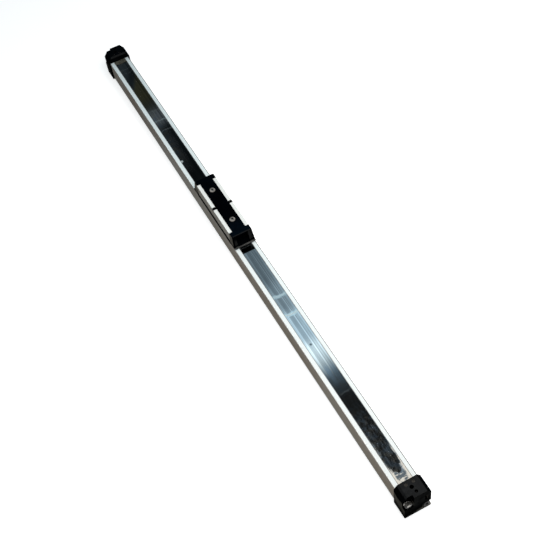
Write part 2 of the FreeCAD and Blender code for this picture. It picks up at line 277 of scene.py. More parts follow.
# The outer band is a stainless strip, rolled bright, that lies in a shallow seat and closes the slot.
# Both ends are clamped in the caps. The carriage's wipers leave streaks along it and marks across it
# where they stood, and dried grease and dirt frost it beside the caps.
band_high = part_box("outer_band")[1]
bright_steel, dull_steel = (0.75, 0.785, 0.81, 1), (0.29, 0.315, 0.335, 1)
warm_oil, blue_oil = (0.62, 0.63, 0.59, 1), (0.42, 0.55, 0.68, 1)
far_smear_colour = (0.66, 0.63, 0.50, 1)
mark_colour = (0.66, 0.83, 0.89, 1)
pit_colour = (0.09, 0.11, 0.12, 1)
film_colour = (0.64, 0.645, 0.62, 1)
crust_gap_colour, crust_colour = (0.10, 0.125, 0.145, 1), (0.70, 0.665, 0.60, 1)
seat_dirt_colour = (0.035, 0.032, 0.028, 1)

# Each mark's place along the barrel in millimetres, its bow, its width in millimetres and its strength.
stop_marks = ((117.6, 15.0, 4.2, 0.36), (149.8, 25.0, 4.2, 0.5), (280.4, 0.0, 1.5, 0.09),
              (-234.2, 0.0, 1.8, 0.10), (-257.0, 0.0, 2.2, 0.16), (-280.5, 0.0, 2.4, 0.08),
              (-381.0, 0.0, 1.5, 0.04), (-390.0, 0.0, 1.5, 0.05))
nick_place, nick_size, nick_strength = (-163.0 * mm, -7.8 * mm), 3.0 * mm, 0.6
pit_place, pit_size = (201.7 * mm, -2.0 * mm), 2.2 * mm

# Where dirt, grease and haze lie, along the barrel and across it.
crust_start = span(-18, -11, barrel_high.x)
crust_mouth = span(-5.8, -3.0, barrel_high.x)
crust_right = span(4.0, 6.2)
crust_left = span(-5.0, -6.6)
right_rim_across = span(6.8, 8.6)
right_rim_run = span(-62, -30, barrel_high.x)
left_rim_across = span(-6.2, -8.5)
left_rim_run = span(-110, -30, barrel_high.x)
grease_run = span(285, 345)
thin_grease_run = span(262, 278)
smudge_rise = span(225, 262)
smudge_fade = span(260, 272)
smudge_stop = span(281.5, 279.5)
far_smear_run = span(10.5, 6.0, barrel_low.x)
old_haze_near = span(-130, -175)
old_haze_far = span(-290, -265)
old_haze_across = span(6, -6)
seat_line = span(-0.6, -0.2, band_high.y)


def make_stop_mark():
    """A curved mark across the band, left by a wiper that stood there."""
    group, given, made = new_effect("stop_mark", "Place", "Bow", "Width")
    place = object_place(group)
    along, across = axes_of(group, place, "XY")
    bow = times(group, across, across, given["Bow"])
    wander = between(group, patches(group, place, 180.0), -3 * mm, 3 * mm)
    off = plus(group, reckon(group, "SUBTRACT", along, given["Place"]), bow, wander)
    share = reckon(group, "DIVIDE", reckon(group, "ABSOLUTE", off), given["Width"])
    join(group, eased(group, share, 1.0, 0.0), made["Mask"])
    return group


stop_mark = make_stop_mark()


def fleck(tree, place, spot, size):
    """A round fleck of about the given size at a spot on the band's top."""
    off = put(tree, "ShaderNodeVectorMath", {"Vector": place, "Vector_001": (*spot, band_high.z)},
              output="Value", operation="DISTANCE")
    return eased(tree, off, size, 0.4 * size)


def wiper_marks(tree, place):
    """The marks across the band, and a pale nick at its left edge."""
    marks = [times(tree, fleck(tree, place, nick_place, nick_size), nick_strength)]
    for spot, bow, width, strength in stop_marks:
        mark = use(tree, stop_mark, Place=spot * mm, Bow=bow, Width=width * mm)
        marks.append(times(tree, mark, strength))
    return largest(tree, *marks)


def near_dirt(tree, place, ragged):
    """Dried dirt beside the near cap: its zone, the crust in that zone, and a rim along each edge."""
    along, across = axes_of(tree, place, "XY")
    torn = plus(tree, along, ragged)
    slid = plus(tree, across, times(tree, ragged, 0.3))
    sideways = times(tree, reckon(tree, "ABSOLUTE", across), 1.1)
    zone = eased(tree, plus(tree, torn, sideways), *crust_start)
    at_mouth = eased(tree, plus(tree, along, times(tree, ragged, 0.45)), *crust_mouth)
    flakes = cloudy(tree, place, 330.0, (0.54, 0.62), stretch=(1, 0.45, 1))
    crust = largest(tree, eased(tree, slid, *crust_right), eased(tree, slid, *crust_left), at_mouth, flakes)
    at_right = eased(tree, plus(tree, across, times(tree, ragged, 0.1)), *right_rim_across)
    right_rim = times(tree, at_right, eased(tree, torn, *right_rim_run))
    left_rim = times(tree, eased(tree, slid, *left_rim_across), eased(tree, torn, *left_rim_run))
    return zone, crust, right_rim, left_rim


def near_grease(tree, place, mottle, smudge, streaks):
    """Grease towards the near cap, in flecks and crumbs drawn out by the wipers, with a smudge before it."""
    along, = axes_of(tree, place, "X")
    flecks = cloudy(tree, place, 420.0, (0.40, 0.62), detail=4.0, stretch=(0.45, 1, 1))
    wiped = use(tree, drawn_lines, Lines=700.0, Run=14.0)
    crumbs = cloudy(tree, place, 650.0, (0.68, 0.74), detail=2.0)
    spread = plus(tree, between(tree, mottle, 0.0, 0.03), between(tree, flecks, 0.005, 0.055))
    spread = plus(tree, times(tree, spread, between(tree, wiped, 0.55, 1.5)), times(tree, crumbs, 0.14))
    thick = times(tree, eased(tree, along, *grease_run), spread)
    smeared = times(tree, smudge, between(tree, streaks, 0.02, 0.06))
    thin = times(tree, eased(tree, along, *thin_grease_run), 0.013)
    return largest(tree, thick, smeared, thin)


def far_dirt(tree, place, ragged, mottle):
    """A smear beside the far cap, and an old haze on the left between that cap and the carriage."""
    along, across = axes_of(tree, place, "XY")
    torn = plus(tree, along, times(tree, ragged, 0.25))
    smear = times(tree, eased(tree, torn, *far_smear_run), between(tree, mottle, 0.12, 0.20))
    slid = plus(tree, across, times(tree, ragged, 0.3))
    scuffs = between(tree, patches(tree, place, 60.0, detail=5.0, stretch=(0.5, 1, 1)), 0.2, 1.2)
    haze = times(tree, eased(tree, along, *old_haze_near), eased(tree, along, *old_haze_far),
                 eased(tree, slid, *old_haze_across), scuffs, 0.04)
    return smear, haze


def make_band_finish():
    """Bright rolled steel with streaks, haze, wiper marks, grease and frosted ends."""
    material, tree, shader = new_finish("rolled_band")
    place = object_place(tree)
    along, across = axes_of(tree, place, "XY")
    streaks = eased(tree, use(tree, drawn_lines, Lines=420.0, Run=1.2), 0.3, 0.7)
    roll_lines = use(tree, drawn_lines, Lines=2600.0, Run=9.0)
    smears = cloudy(tree, place, 30.0, (0.42, 0.75), detail=5.0, stretch=(0.35, 1, 1))
    haze = plus(tree, times(tree, streaks, 0.65), times(tree, smears, 0.45))
    mottle = cloudy(tree, place, 140.0, (0.36, 0.62), detail=5.0)
    ragged = between(tree, patches(tree, place, 110.0, detail=5.0), -14 * mm, 14 * mm)
    marks = wiper_marks(tree, place)
    zone, crust, right_rim, left_rim = near_dirt(tree, place, ragged)
    smudge = times(tree, eased(tree, along, *smudge_rise), eased(tree, along, *smudge_stop),
                   between(tree, eased(tree, along, *smudge_fade), 1.0, 0.4))
    grease = near_grease(tree, place, mottle, smudge, streaks)
    far_smear, old_haze = far_dirt(tree, place, ragged, mottle)
    seat_dirt = eased(tree, reckon(tree, "ABSOLUTE", across), *seat_line)

    # The steel itself, tinted by oil, smears and marks.
    steel = over(tree, haze, bright_steel, dull_steel)
    blueness = largest(tree, mottle, eased(tree, smudge, 0.0, 0.3))
    oil = over(tree, blueness, warm_oil, blue_oil)
    steel = over(tree, eased(tree, largest(tree, grease, old_haze), 0.0, 0.04), steel, oil)
    steel = over(tree, eased(tree, far_smear, 0.0, 0.12), steel, far_smear_colour)
    steel = over(tree, eased(tree, marks, 0.02, 0.2), steel, mark_colour)
    steel = over(tree, fleck(tree, place, pit_place, pit_size), steel, pit_colour)

    # What lies on the steel, which is rougher and less like metal.
    film = largest(tree, marks, far_smear, old_haze, times(tree, left_rim, 0.3))
    colour = over(tree, film, steel, film_colour)
    colour = over(tree, zone, colour, over(tree, crust, crust_gap_colour, crust_colour))
    colour = over(tree, right_rim, colour, crust_colour)
    colour = over(tree, seat_dirt, colour, seat_dirt_colour, share=0.85)
    film = largest(tree, film, grease, zone, right_rim, seat_dirt)
    rough = plus(tree, between(tree, haze, 0.02, 0.06), times(tree, film, 0.4))
    wave = patches(tree, place, 22.0, detail=1.0, stretch=(0.5, 1, 1))
    wave = plus(tree, wave, times(tree, roll_lines, 0.003))
    feed(tree, shader, Base_Color=colour, Metallic=between(tree, film, 1.0, 0.25), Roughness=rough,
         Normal=relief(tree, wave, 0.25 * mm))
    return material


dress(make_band_finish(), "outer_band", "inner_band")

# The end caps are castings with a black satin finish and chamfered shoulders. Each is held by two long
# screws into the barrel's corner channels. Dust and a painted sheen lie on their tops, bluer on the far cap;
# their bevels, end faces and right shoulders carry a painted highlight, sheen and glint, and edges are rubbed
# grey.
# A pale brown film covers their sides and their foot; on the sides it is dirt, painted fainter towards the
# far cap and the foot as shade.
cap_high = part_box("end_cap_near")[1]
cap_blacks = (0.0009, 0.001, 0.0012, 1), (0.0022, 0.0026, 0.0031, 1)
# Dust with a painted sheen on the caps' tops, navy at the far end and grey at the near end.
cap_dusts_and_sheens = (0.06, 0.18, 0.32, 1), (0.27, 0.275, 0.28, 1)
cap_bevel_highlight_colour = (0.20, 0.19, 0.18, 1)
cap_end_sheen_colour = (0.030, 0.030, 0.029, 1)
cap_shoulder_glint_colour = (0.02, 0.032, 0.044, 1)
cap_rubbed_colour = (0.20, 0.19, 0.175, 1)
cap_film_colour = (0.185, 0.168, 0.143, 1)
cap_top = span(-3.3, -2.7, cap_high.z)
cap_top_right = span(12.5, 10.8)
cap_end = span(-1.6, -0.6, cap_high.x)
cap_end_levels = span(6, 24)
cap_shoulder_glint = span(-1.4, -0.7, cap_high.y)
cap_foot = span(8, 2)
cap_foot_across = span(-10, 8)
cap_side_top = span(28.5, 23.5)
cap_side_levels = span(3, 20)


def make_rubbed_edges():
    """Convex edges where a finish is rubbed through, broken up along their length."""
    group, given, made = new_effect("rubbed_edges", "Width", "Break Up")
    rounded = put(group, "ShaderNodeBevel", {"Radius": given["Width"]}, samples=6)
    flat = put(group, "ShaderNodeNewGeometry", output="Normal")
    turn = put(group, "ShaderNodeVectorMath", {"Vector": rounded, "Vector_001": flat}, output="Value",
               operation="DOT_PRODUCT")
    broken = cloudy(group, object_place(group), given["Break Up"], (0.35, 0.65), detail=2.0)
    join(group, times(group, eased(group, turn, 0.97, 0.8), broken), made["Mask"])
    return group


def make_settled_dust():
    """Dust that lies on what faces up, in thin clouds and separate specks."""
    group, given, made = new_effect("settled_dust", "Cover", "Clouds", "Specks", "Lean")
    place = object_place(group)
    upward, = facing_of(group, "Z")
    faces_up = eased(group, upward, given["Lean"], plus(group, given["Lean"], 0.25))
    clouds = between(group, patches(group, place, given["Clouds"]), 0.2, 1.2)
    specks = cloudy(group, place, given["Specks"], (0.67, 0.75), detail=1.0)
    join(group, times(group, plus(group, clouds, specks), given["Cover"], faces_up), made["Mask"])
    return group


rubbed_edges = make_rubbed_edges()
settled_dust = make_settled_dust()


def make_cap_finish():
    """Black finished casting, fine grained, with dust and a painted sheen on top, painted highlights, and a
    pale brown film on its sides and at the foot.
    """
    material, tree, shader = new_finish("cast_black")
    place = object_place(tree)
    along, across, level = axes_of(tree, place)
    forward, sideways, upward = facing_of(tree)
    nearness = nearness_of(tree, place)
    grain = patches(tree, place, 1500.0)
    blotches = cloudy(tree, place, 90.0, (0.3, 0.7), detail=4.0)
    colour = over(tree, blotches, *cap_blacks)

    # Dust and a painted sheen on the top, bluer on the far cap, left off the right edge as painted shade.
    dust = use(tree, settled_dust, Cover=0.06, Clouds=110.0, Specks=1100.0, Lean=0.3)
    top_dust_and_sheen = times(tree, dust, eased(tree, level, *cap_top), eased(tree, across, *cap_top_right),
                   between(tree, nearness, 0.13, 1.0))
    colour = over(tree, top_dust_and_sheen, colour, over(tree, nearness, *cap_dusts_and_sheens))
    # Faces that slope up towards the cap's end get a faint painted highlight.
    bevel_highlight = eased(tree, times(tree, forward, upward), 0.3, 0.47)
    colour = over(tree, bevel_highlight, colour, cap_bevel_highlight_colour, share=0.055)
    # The end face gets a dark grey painted sheen that fades out towards its foot as painted shade.
    end_face_painted_light = times(tree, eased(tree, forward, 0.8, 0.95), eased(tree, along, *cap_end),
                     eased(tree, level, *cap_end_levels), between(tree, blotches, 0.3, 1.0))
    colour = over(tree, end_face_painted_light, colour, cap_end_sheen_colour)
    # A painted glint of bluish light along the outer edge of the right shoulder.
    shoulder_glint = times(tree, eased(tree, across, *cap_shoulder_glint), eased(tree, upward, 0.2, 0.4),
                     between(tree, blotches, 0.5, 1.0))
    colour = over(tree, shoulder_glint, colour, cap_shoulder_glint_colour)
    rubbed = use(tree, rubbed_edges, Width=0.7 * mm, Break_Up=420.0)
    colour = over(tree, rubbed, colour, cap_rubbed_colour, share=0.05)

    # A film of dirt on the sides, painted fainter towards the far cap and the foot as shade, and a pale brown
    # at the foot with a ragged upper edge.
    creep = between(tree, patches(tree, place, 160.0, detail=4.0), -4 * mm, 4 * mm)
    crept_level = plus(tree, level, creep)
    foot = times(tree, eased(tree, crept_level, *cap_foot),
                 between(tree, eased(tree, across, *cap_foot_across), 0.05, 0.85))
    side_film_and_shade = times(tree, eased(tree, reckon(tree, "ABSOLUTE", sideways), 0.85, 0.97),
                  between(tree, blotches, 0.5, 0.95), eased(tree, crept_level, *cap_side_top),
                  between(tree, nearness, 0.3, 1.0),
                  between(tree, eased(tree, level, *cap_side_levels), 0.15, 1.0))
    colour = over(tree, largest(tree, foot, side_film_and_shade), colour, cap_film_colour)
    feed(tree, shader, Base_Color=colour, Roughness=between(tree, blotches, 0.5, 0.65),
         Specular_IOR_Level=0.0, Normal=relief(tree, grain, 0.06 * mm))
    return material


dress(make_cap_finish(), "end_cap_near", "end_cap_far")

# Socket-head screws hold the caps, grub screws in the caps' tops clamp the band, and needle screws
# beside the air ports set the cushioning. All are plated steel, turned, with a pressed hexagon socket.
# Grease, oil and dust dull them. The upper tie screws' sockets and a ring at the heads' seats are bright as a
# painted glint, and the tie screws' end faces are darkened as painted shade.
tie_nodes = [f"tie_screw_{end}_{level}" for end in ("near", "far") for level in ("upper", "lower")]
grub_nodes = [f"band_screw_{end}_{side}" for end in ("near", "far") for side in ("left", "right")]
needle_nodes = ["cushion_needle_near", "cushion_needle_far"]
tie_low, tie_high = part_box(tie_nodes[0])
tie_radius = (tie_high.y - tie_low.y) / 2
tie_head_height = 5.0 * mm
tie_seat = tie_high.x - tie_head_height
tie_glint_ring = span(1.7, 0.9, tie_seat)
# The tie screws' end faces are darkened as painted shade; the ring at the seat and the upper sockets are
# bright as a painted glint.
tie_greases = (0.035, 0.034, 0.031, 1), (0.085, 0.08, 0.072, 1)
tie_face_shade_colour = (0.017, 0.0165, 0.015, 1)
tie_glint_ring_colour = (0.62, 0.60, 0.56, 1)
glinting_socket, greasy_socket = (0.92, 0.91, 0.89, 1), (0.05, 0.047, 0.042, 1)
greasy_socket_levels = span(17, 13)
oily_grub, dusty_grub = (0.002, 0.0025, 0.003, 1), (0.048, 0.044, 0.039, 1)
# Near-black steel that stands as painted shade in the needles' holes and the cover screws' sockets.
dark_hole_colour, dark_hole_crust = (0.03, 0.028, 0.026, 1), (0.012, 0.011, 0.01, 1)


def make_screw_tree():
    """A turned screw with a hexagon socket, set at each point and turned along the point's axis."""
    tree = bpy.data.node_groups.new("socket_screws", "GeometryNodeTree")
    tree.is_modifier = True
    tree.interface.new_socket("Geometry", in_out="INPUT", socket_type="NodeSocketGeometry")
    for label in ("Head Radius", "Head Height", "Crown Radius", "Brim Height", "Socket Radius",
                  "Socket Depth", "Shank Radius", "Shank Length", "Knurl Depth"):
        tree.interface.new_socket(label, in_out="INPUT", socket_type="NodeSocketFloat")
    for label in ("Finish", "Socket Finish"):
        tree.interface.new_socket(label, in_out="INPUT", socket_type="NodeSocketMaterial")
    tree.interface.new_socket("Geometry", in_out="OUTPUT", socket_type="NodeSocketGeometry")
    given = tree.nodes.new("NodeGroupInput").outputs
    made = tree.nodes.new("NodeGroupOutput").inputs

    # A grid is wrapped round: its columns go round the screw, its rows follow the turned outline.
    columns, rows, socket_rows = 73, 14, 2
    grid = put(tree, "GeometryNodeMeshGrid", {"Vertices X": rows, "Vertices Y": columns})
    index = put(tree, "GeometryNodeInputIndex")
    row = reckon(tree, "FLOOR", reckon(tree, "DIVIDE", index, float(columns)))
    column = reckon(tree, "SUBTRACT", index, times(tree, row, float(columns)))
    angle = times(tree, column, math.tau / (columns - 1))

    # The socket's wall is a hexagon: its radius grows from the flats to the corners.
    half_side = math.pi / 6
    from_flat = reckon(tree, "SUBTRACT", half_side, reckon(tree, "PINGPONG", angle, half_side))
    flat_radius = times(tree, given["Socket Radius"], math.cos(half_side))
    hexagon = reckon(tree, "DIVIDE", flat_radius, reckon(tree, "COSINE", from_flat))
    floor = reckon(tree, "SUBTRACT", given["Head Height"], given["Socket Depth"])
    lead_in = times(tree, given["Socket Radius"], 1.12)
    lead_start = plus(tree, given["Head Height"], times(tree, given["Socket Radius"], -0.1))
    knurl = times(tree, reckon(tree, "PINGPONG", column, 1.0), given["Knurl Depth"])
    ribbed = reckon(tree, "SUBTRACT", given["Head Radius"], knurl)
    tip = times(tree, given["Shank Length"], -1.0)
    tip_start = plus(tree, tip, times(tree, given["Shank Radius"], 0.3))
    tip_radius = times(tree, given["Shank Radius"], 0.7)

    # Radius and height of each row, from the bottom of the socket over the head to the tip.
    outline = [(0.0, floor), (hexagon, floor), (hexagon, lead_start), (lead_in, given["Head Height"])]
    crown_steps = 4
    out = reckon(tree, "SUBTRACT", given["Head Radius"], given["Crown Radius"])
    drop = reckon(tree, "SUBTRACT", given["Head Height"], given["Brim Height"])
    for step in range(crown_steps):
        turn = math.pi / 2 * step / crown_steps
        outline.append((reckon(tree, "MULTIPLY_ADD", out, math.sin(turn), given["Crown Radius"]),
                        reckon(tree, "MULTIPLY_ADD", drop, math.cos(turn), given["Brim Height"])))
    outline += [(ribbed, given["Brim Height"]), (ribbed, 0.0), (given["Shank Radius"], 0.0),
                (given["Shank Radius"], tip_start), (tip_radius, tip), (0.0, tip)]

    def by_row(values):
        """The value of each row in turn."""
        switch = add_node(tree, "GeometryNodeIndexSwitch", data_type="FLOAT")
        while len(switch.index_switch_items) < len(values):
            switch.index_switch_items.new()
        join(tree, row, switch.inputs["Index"])
        for place, value in enumerate(values):
            join(tree, value, switch.inputs[1 + place])
        return switch.outputs[0]

    radius = by_row([radius for radius, height in outline])
    height = by_row([height for radius, height in outline])
    x = times(tree, radius, reckon(tree, "COSINE", angle))
    y = times(tree, radius, reckon(tree, "SINE", angle))
    wrapped = put(tree, "ShaderNodeCombineXYZ", {"X": x, "Y": y, "Z": height})
    screw = put(tree, "GeometryNodeSetPosition", {"Geometry": grid, "Position": wrapped})
    in_socket = reckon(tree, "LESS_THAN", row, socket_rows - 0.5)
    inputs = {"Geometry": screw, "Name": "in_socket", "Value": in_socket}
    screw = put(tree, "GeometryNodeStoreNamedAttribute", inputs, data_type="FLOAT", domain="FACE")
    screw = put(tree, "GeometryNodeMergeByDistance", {"Geometry": screw, "Distance": 1e-6})

    # Each screw points along its point's axis and is turned by chance, then gets its two finishes.
    axis = put(tree, "GeometryNodeInputNamedAttribute", {"Name": "axis"}, data_type="FLOAT_VECTOR")
    aim = put(tree, "FunctionNodeAlignRotationToVector", {"Vector": axis}, axis="Z")
    spin = put(tree, "FunctionNodeRandomValue", {"Max_001": math.tau, "Seed": 4}, output=1, data_type="FLOAT")
    spun = put(tree, "FunctionNodeAxisAngleToRotation", {"Axis": (0, 0, 1), "Angle": spin})
    turned = put(tree, "FunctionNodeRotateRotation", {"Rotation": aim, "Rotate By": spun},
                 rotation_space="LOCAL")
    points = put(tree, "GeometryNodeMeshToPoints", {"Mesh": given["Geometry"]})
    placed = put(tree, "GeometryNodeInstanceOnPoints",
                 {"Points": points, "Instance": screw, "Rotation": turned})
    real = put(tree, "GeometryNodeRealizeInstances", {"Geometry": placed})
    coated = put(tree, "GeometryNodeSetMaterial", {"Geometry": real, "Material": given["Finish"]})
    stored = put(tree, "GeometryNodeInputNamedAttribute", {"Name": "in_socket"}, data_type="FLOAT")
    chosen = put(tree, "FunctionNodeCompare", {"A": stored, "B": 0.5}, operation="GREATER_THAN")
    coated = put(tree, "GeometryNodeSetMaterial", {"Geometry": coated, "Selection": chosen,
                                                   "Material": given["Socket Finish"]})
    join(tree, coated, made["Geometry"])
    return tree


screw_tree = make_screw_tree()


def add_object(name, data):
    """A new object in the scene."""
    made = bpy.data.objects.new(name, data)
    bpy.context.scene.collection.objects.link(made)
    return made


def make_screws(name, places, finish, socket_finish, **sizes):
    """One mesh of like screws, each at the foot of its head and along its own axis."""
    mesh = bpy.data.meshes.new(name)
    mesh.from_pydata([place for place, axis in places], [], [])
    axes = mesh.attributes.new("axis", "FLOAT_VECTOR", "POINT")
    for point, (place, axis) in zip(axes.data, places):
        point.vector = axis
    screws = add_object(name, mesh)
    maker = screws.modifiers.new("screws", "NODES")
    maker.node_group = screw_tree
    items = screw_tree.interface.items_tree
    sockets = {item.name: item.identifier for item in items if item.in_out == "INPUT"}
    for label, value in sizes.items():
        maker[sockets[label.replace("_", " ")]] = value
    maker[sockets["Finish"]] = finish
    maker[sockets["Socket Finish"]] = socket_finish
    seen = screws.evaluated_get(bpy.context.evaluated_depsgraph_get())
    screws.data = bpy.data.meshes.new_from_object(seen)
    screws.modifiers.remove(maker)
    screws.data.shade_smooth()
    screws.data.set_sharp_from_angle(angle=math.radians(28))
    return screws


def new_screw_steel(name, cut):
    """A new finish for screws, with fine clouds that also give it its relief."""
    material, tree, shader = new_finish(name)
    place = object_place(tree)
    clouds = cloudy(tree, place, 450.0, cut, detail=4.0)
    feed(tree, shader, Normal=relief(tree, clouds, 0.03 * mm))
    return material, tree, shader, place, clouds


def make_tie_finish():
    """Dull steel under old grease, with end faces darkened as painted shade and a bright ring where the head
    meets its seat as a painted glint.
    """
    material, tree, shader, place, clouds = new_screw_steel("greasy_steel", (0.3, 0.7))
    along, = axes_of(tree, place, "X")
    forward, = facing_of(tree, "X")
    # End faces darkened as painted shade, and a bright ring at the seat as a painted glint.
    end_face_painted_light = eased(tree, reckon(tree, "ABSOLUTE", forward), 0.85, 0.97)
    grease = over(tree, end_face_painted_light, over(tree, clouds, *tie_greases), tie_face_shade_colour)
    glint_ring = eased(tree, reckon(tree, "ABSOLUTE", along), *tie_glint_ring)
    feed(tree, shader, Base_Color=over(tree, glint_ring, grease, tie_glint_ring_colour),
         Metallic=between(tree, glint_ring, 0.12, 1.0), Roughness=between(tree, clouds, 0.28, 0.42),
         Specular_IOR_Level=0.1)
    return material


def make_socket_finish():
    """Sockets of near-white mirror steel in the upper screws, as a painted glint, and filled with old grease
    in the lower ones.
    """
    material, tree, shader, place, clouds = new_screw_steel("socket_steel", (0.3, 0.7))
    level, = axes_of(tree, place, "Z")
    filled = eased(tree, level, *greasy_socket_levels)
    feed(tree, shader, Base_Color=over(tree, filled, glinting_socket, greasy_socket),
         Metallic=between(tree, filled, 1.0, 0.0), Roughness=between(tree, clouds, 0.22, 0.4),
         Specular_IOR_Level=0.1)
    return material


tie_places = []
for name in tie_nodes:
    low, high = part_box(name)
    middle = (low + high) / 2
    way = 1 if middle.x > 0 else -1
    head_face = high.x if way > 0 else low.x
    tie_places.append(((head_face - way * tie_head_height, middle.y, middle.z), (way, 0, 0)))
tie_screws = make_screws("tie_screws", tie_places, make_tie_finish(), make_socket_finish(),
                         Head_Radius=tie_radius, Head_Height=tie_head_height,
                         Crown_Radius=tie_radius - 0.7 * mm, Brim_Height=tie_head_height - 0.5 * mm,
                         Socket_Radius=2.3 * mm, Socket_Depth=2.5 * mm, Shank_Radius=2.45 * mm,
                         Shank_Length=tie_seat - tie_low.x, Knurl_Depth=0.18 * mm)
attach(tie_screws, "cylinder")
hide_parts(*tie_nodes)


def make_grub_finish():
    """Dull steel that is oily and dark in the far cap, and filmed with dust in the near one."""
    material, tree, shader, place, clouds = new_screw_steel("grub_steel", (0.35, 0.7))
    dust = times(tree, nearness_of(tree, place), between(tree, clouds, 0.8, 1.0))
    feed(tree, shader, Base_Color=over(tree, dust, oily_grub, dusty_grub), Metallic=0.3,
         Roughness=between(tree, clouds, 0.3, 0.5), Specular_IOR_Level=0.1)
    return material


def make_screw_finish(name, colour, dirt, dirt_share):
    """Plated steel, turned, clouded with dirt."""
    material, tree, shader, place, clouds = new_screw_steel(name, (0.35, 0.7))
    dulled = [0.6 * channel for channel in colour[:3]] + [1.0]
    crust = times(tree, cloudy(tree, place, 700.0, (0.4, 0.7)), dirt_share)
    plate = over(tree, clouds, colour, dulled, share=0.35)
    feed(tree, shader, Base_Color=over(tree, crust, plate, dirt), Metallic=between(tree, crust, 1.0, 0.1),
         Roughness=between(tree, clouds, 0.22, 0.42))
    return material


def upright_places(names, head_height):
    """Where each upright screw's head has its foot, with the way that the screw points."""
    places = []
    for name in names:
        low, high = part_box(name)
        places.append((((low.x + high.x) / 2, (low.y + high.y) / 2, high.z - head_height), (0, 0, 1)))
    return places


def make_flush_screws(name, replaced, finish, socket_radius, socket_depth):
    """Headless screws that stand upright in their holes, the same size as the nodes they replace."""
    head, rim, shank_step = 1 * mm, 0.25 * mm, 0.05 * mm
    low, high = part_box(replaced[-1])
    radius = (high.x - low.x) / 2
    screws = make_screws(name, upright_places(replaced, head), finish, finish, Head_Radius=radius,
                         Head_Height=head, Crown_Radius=radius - rim, Brim_Height=head - rim,
                         Socket_Radius=socket_radius, Socket_Depth=socket_depth,
                         Shank_Radius=radius - shank_step, Shank_Length=high.z - low.z - head)
    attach(screws, "cylinder")
    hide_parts(*replaced)


# A near-black steel as painted shade: the needles deep in their holes and the cover screws' sockets.
dark_hole_finish = make_screw_finish("dark_hole_steel", dark_hole_colour, dark_hole_crust, dirt_share=0.6)
make_flush_screws("band_grub_screws", grub_nodes, make_grub_finish(), 1.15 * mm, 0.9 * mm)
make_flush_screws("cushion_needles", needle_nodes, dark_hole_finish, 0.9 * mm, 1.6 * mm)

# The carriage body is a short aluminium extrusion that bridges the barrel. Its two rails, milled bright
# on top, stand up on either side of the black cover. Its sides carry the same film of dirt and painted shade
# as the barrel, with painted shade along their foot.
body_low, body_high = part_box("carriage_body")
body_tops = [(0.84, 0.865, 0.845, 1)] * 2
# Side films of dirt and painted shade, from far to near.
body_shaded_films = (0.40, 0.335, 0.265, 1), (0.46, 0.385, 0.31, 1)
body_film_tilt = 0.75
body_foot = span(3.0, 2.0, body_low.z)
tab_marks = span(2.7, 2.2)


def offset_of(tree, along, middle):
    """How far a place along the barrel is from a middle, either way."""
    return reckon(tree, "ABSOLUTE", reckon(tree, "SUBTRACT", along, middle))


def body_foot_shade_and_tab_marks(tree):
    """Painted shade along the foot of the body's sides, where it sits on the barrel, and dark marks beside
    the cover's tabs at mid-length.
    """
    along, level = axes_of(tree, object_place(tree), "XZ")
    upward, = facing_of(tree, "Z")
    from_tab = offset_of(tree, along, (body_low.x + body_high.x) / 2)
    beside_tab = times(tree, eased(tree, from_tab, *tab_marks), eased(tree, upward, 0.5, 0.8))
    return largest(tree, eased(tree, level, *body_foot), beside_tab)


dress(make_anodised("anodised_carriage", body_tops, body_shaded_films, body_film_tilt, body_foot_shade_and_tab_marks), "carriage_body")

# The cover is one black plastic moulding: a strip between the rails, with a hood at each end that
# houses the band's guides. It is screwed down through two counterbores. It has a fine grain, thin dust
# with a navy painted sheen towards its ends, painted light on the hoods' sloping faces and pocket walls,
# and a grey-brown on the hoods' sides that is a film of dirt and a painted reflection.
cover_low, cover_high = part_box("carriage_cover")
cover_middle = (cover_low.x + cover_high.x) / 2
cover_blacks = (0.0003, 0.0004, 0.0007, 1), (0.0006, 0.001, 0.0018, 1)
# Navy for thin dust with a painted sheen on the cover's top towards its ends.
cover_dust_and_sheen_colour = (0.055, 0.17, 0.30, 1)
hood_brow_highlight_colour = (0.20, 0.205, 0.205, 1)
hood_wall_light_colour = (0.20, 0.20, 0.195, 1)
hood_film_and_reflection_colour = (0.26, 0.232, 0.196, 1)
cover_rubbed_colour = (0.20, 0.205, 0.21, 1)
hoods_from_middle = span(36, 52)
dust_and_sheen_from_middle = span(22, 46)
dust_and_sheen_run = span(-40, 40)
cover_top = span(-1.4, -0.6, cover_high.z)
hood_inner_wall = span(-9.5, -11.5)
hood_outer_wall = span(11.5, 13.0)
hood_outer_foot = span(1.8, 2.8, cover_low.z)
step_inside = span(8.6, 9.1)
step_outside = span(12.9, 12.6)
left_step_levels = span(12, 4, cover_low.z)
left_to_right = span(-1, 1)


